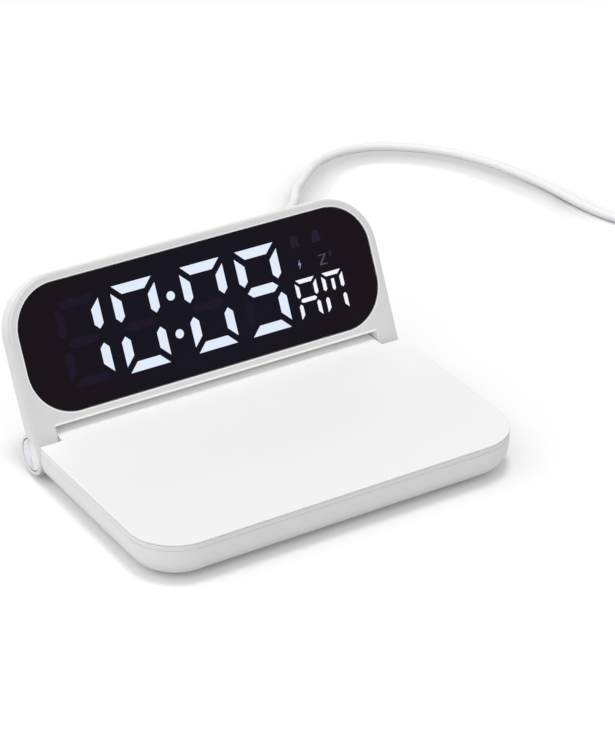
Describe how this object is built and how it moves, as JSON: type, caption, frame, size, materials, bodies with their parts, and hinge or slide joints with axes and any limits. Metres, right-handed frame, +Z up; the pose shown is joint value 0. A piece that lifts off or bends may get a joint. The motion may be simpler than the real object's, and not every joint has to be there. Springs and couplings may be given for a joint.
{
  "type": "wireless charging alarm clock",
  "caption": "Flat wireless charging pad with a dark digital clock display that folds on a friction hinge along the pad's rear edge, with a wired power lead.",
  "frame": {"origin": "on the table under the middle of the clock's bounding box, without its power lead", "axes": "+Z up, +X along the hinge to the user's right, +Y away from the user"},
  "size_m": [0.3555, 0.2572, 0.0659],
  "materials": {
    "casing_white": "fine satin moulded plastic",
    "cap_white": "smooth half-gloss plastic",
    "lens_black": "polished dark tinted plastic",
    "inner_black": "matt moulded plastic",
    "guide_clear": "clear frosted plastic",
    "foot_rubber": "matt rubber",
    "screw_steel": "zinc-plated steel",
    "bush_brass": "turned brass",
    "coil_copper": "enamelled copper wire",
    "ferrite_grey": "matt ferrite",
    "board_green": "solder-masked circuit board",
    "capacitor_brown": "matt film capacitor",
    "socket_tin": "bright tinned steel",
    "wire_black": "satin wire jacket",
    "lead_white": "satin soft jacket"
  },
  "bodies": {
    "base": {"base_bottom_shell": "casing_white", "base_top_cover": "casing_white", "foot_front_left": "foot_rubber", "foot_rear_left": "foot_rubber", "foot_front_right": "foot_rubber", "foot_rear_right": "foot_rubber", "case_screw_front_left": "screw_steel", "case_screw_rear_left": "screw_steel", "case_screw_front_right": "screw_steel", "case_screw_rear_right": "screw_steel", "coil_carrier": "inner_black", "ferrite_sheet": "ferrite_grey", "charging_coil": "coil_copper", "charger_board": "board_green", "charger_chip": "inner_black", "power_inductor": "ferrite_grey", "resonance_capacitor": "capacitor_brown", "usb_socket": "socket_tin", "hinge_bush_left": "bush_brass", "hinge_bush_right": "bush_brass", "hinge_wire_base": "wire_black", "usb_c_plug_shell": "socket_tin", "usb_c_plug_grip": "lead_white", "cord_lead": "lead_white", "cord_coil": "lead_white", "cord_tie": "inner_black", "usb_a_plug_grip": "lead_white", "usb_a_plug_shell": "socket_tin"},
    "display": {"display_front_frame": "casing_white", "display_rear_cover": "casing_white", "display_lens": "lens_black", "light_mask": "inner_black", "digit_guide_1": "guide_clear", "digit_guide_2": "guide_clear", "digit_guide_3": "guide_clear", "digit_guide_4": "guide_clear", "colon_guide": "guide_clear", "half_day_guide": "guide_clear", "display_board": "board_green", "clock_chip": "inner_black", "backup_cell": "screw_steel", "cell_holder": "inner_black", "buzzer": "inner_black", "switch_set": "inner_black", "switch_alarm": "inner_black", "switch_up": "inner_black", "switch_down": "inner_black", "cover_screw_left": "screw_steel", "cover_screw_right": "screw_steel", "hinge_pin_left": "screw_steel", "hinge_pin_right": "screw_steel", "hinge_cap_left": "cap_white", "hinge_cap_right": "cap_white", "hinge_wire_display": "wire_black"},
    "set_button": {"button_set": "casing_white"},
    "alarm_button": {"button_alarm": "casing_white"},
    "up_button": {"button_up": "casing_white"},
    "down_button": {"button_down": "casing_white"}
  },
  "joints": [
    {"name": "display_fold", "type": "hinge", "parent": "base", "child": "display", "pos_m": [0, 0.03149, 0.00875], "axis": [-1, 0, 0], "range_deg": [-25.5, 64.5]},
    {"name": "set_press", "type": "slide", "parent": "display", "child": "set_button", "axis": [0, -0.9026, 0.4305], "range_m": [0, 0.0004], "stiffness_N_per_m": 3000},
    {"name": "alarm_press", "type": "slide", "parent": "display", "child": "alarm_button", "axis": [0, -0.9026, 0.4305], "range_m": [0, 0.0004], "stiffness_N_per_m": 3000},
    {"name": "up_press", "type": "slide", "parent": "display", "child": "up_button", "axis": [0, -0.9026, 0.4305], "range_m": [0, 0.0004], "stiffness_N_per_m": 3000},
    {"name": "down_press", "type": "slide", "parent": "display", "child": "down_button", "axis": [0, -0.9026, 0.4305], "range_m": [0, 0.0004], "stiffness_N_per_m": 3000}
  ]
}
